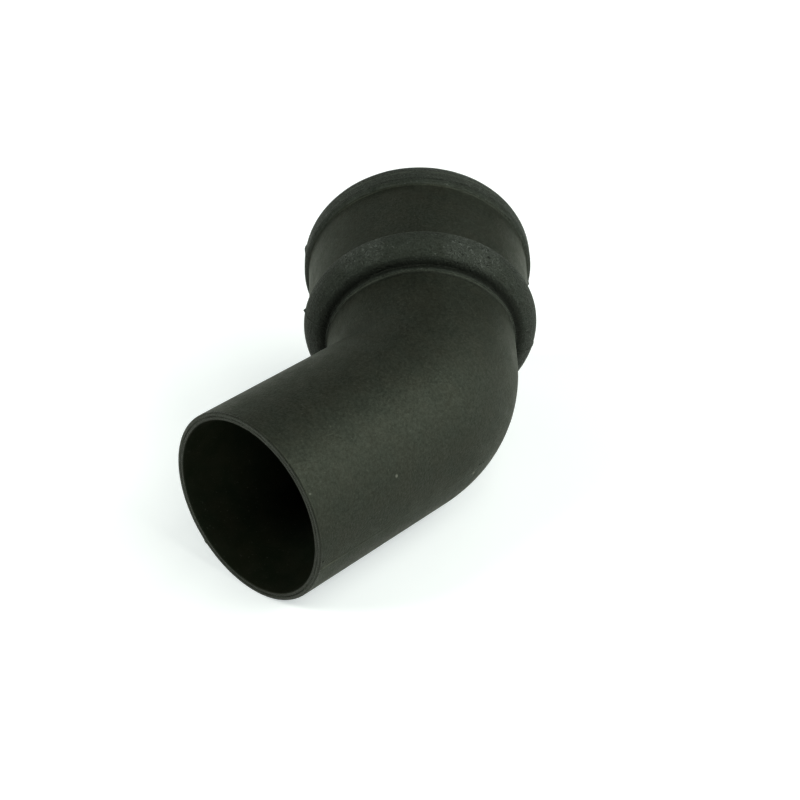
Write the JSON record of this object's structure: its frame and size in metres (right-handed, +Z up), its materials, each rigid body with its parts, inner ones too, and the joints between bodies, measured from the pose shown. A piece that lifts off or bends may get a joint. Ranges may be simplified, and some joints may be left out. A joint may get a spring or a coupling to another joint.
{
  "type": "downpipe offset bend",
  "caption": "Moulded offset bend for a round rainwater downpipe: a plain spigot turns 45 degrees into a wider socket ringed by rounded bands, in the pattern of old cast pipe.",
  "frame": {"origin": "on the ground under the middle of the bend as it lies on its side", "axes": "+Z up; -Y along the spigot's centreline and out of its end; the socket turns off towards -X and +Y and rises a little"},
  "size_m": [0.1228, 0.1766, 0.0933],
  "materials": {
    "charcoal_plastic": "matt charcoal with a fine cast-like texture, rougher on the bands"
  },
  "bodies": {
    "root": {"offset_bend": "charcoal_plastic"}
  },
  "joints": []
}
